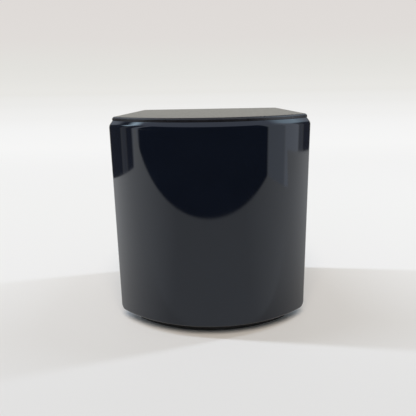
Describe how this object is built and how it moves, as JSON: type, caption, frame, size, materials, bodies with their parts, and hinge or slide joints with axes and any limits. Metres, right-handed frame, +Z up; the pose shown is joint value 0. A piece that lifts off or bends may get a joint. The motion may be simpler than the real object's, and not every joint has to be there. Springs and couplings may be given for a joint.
{
  "type": "survey prism",
  "caption": "Enclosed survey prism: corner-cube reflector behind a bowed dark window, in a sealed hood with a latched socket below for a pole's spigot.",
  "frame": {"origin": "middle of the outline on the table, front of the window to tip of the button", "axes": "+X to the right seen from the front, +Y to the back, +Z up; the bowed window faces -Y"},
  "size_m": [0.0748, 0.0724, 0.0819],
  "materials": {
    "window_gloss": "polished black that passes infrared",
    "housing_satin": "satin black, moulded",
    "button_plastic": "satin black",
    "seal_rubber": "soft black",
    "foot_rubber": "moulded black",
    "anodised_black": "black anodised",
    "plain_aluminium": "machined",
    "socket_steel": "turned",
    "latch_steel": "hardened and ground",
    "screw_steel": "plain",
    "insert_brass": "turned",
    "prism_glass": "optically polished"
  },
  "bodies": {
    "target": {"front_window": "window_gloss", "rear_housing": "housing_satin", "top_cap": "housing_satin", "window_seal_left": "seal_rubber", "window_seal_right": "seal_rubber", "top_gasket": "seal_rubber", "base_gasket": "seal_rubber", "prism_seat": "seal_rubber", "ring_seal": "seal_rubber", "foot_pad": "foot_rubber", "base_plate": "anodised_black", "prism_cell": "anodised_black", "retaining_ring": "anodised_black", "button_bezel": "anodised_black", "prism_frame": "plain_aluminium", "latch_guide": "plain_aluminium", "bezel_nut": "plain_aluminium", "spigot_socket": "socket_steel", "latch_spring": "latch_steel", "cap_screw_1": "screw_steel", "cap_screw_2": "screw_steel", "cap_screw_3": "screw_steel", "cap_screw_4": "screw_steel", "base_screw_1": "screw_steel", "base_screw_2": "screw_steel", "base_screw_3": "screw_steel", "base_screw_4": "screw_steel", "socket_screw_1": "screw_steel", "socket_screw_2": "screw_steel", "socket_screw_3": "screw_steel", "frame_screw_left": "screw_steel", "frame_screw_right": "screw_steel", "cell_screw_1": "screw_steel", "cell_screw_2": "screw_steel", "cell_screw_3": "screw_steel", "cell_screw_4": "screw_steel", "guide_screw_left": "screw_steel", "guide_screw_right": "screw_steel", "housing_insert_1": "insert_brass", "housing_insert_2": "insert_brass", "housing_insert_3": "insert_brass", "housing_insert_4": "insert_brass", "prism_glass": "prism_glass"},
    "latch": {"latch_plate": "latch_steel", "release_button": "button_plastic", "button_seal": "seal_rubber", "button_screw": "screw_steel"}
  },
  "joints": [
    {"name": "release_slide", "type": "slide", "parent": "target", "child": "latch", "axis": [0, -1, 0], "range_m": [0, 0.002], "stiffness_N_per_m": 2060, "springref_m": -0.001, "deforming": ["latch_spring"]}
  ]
}
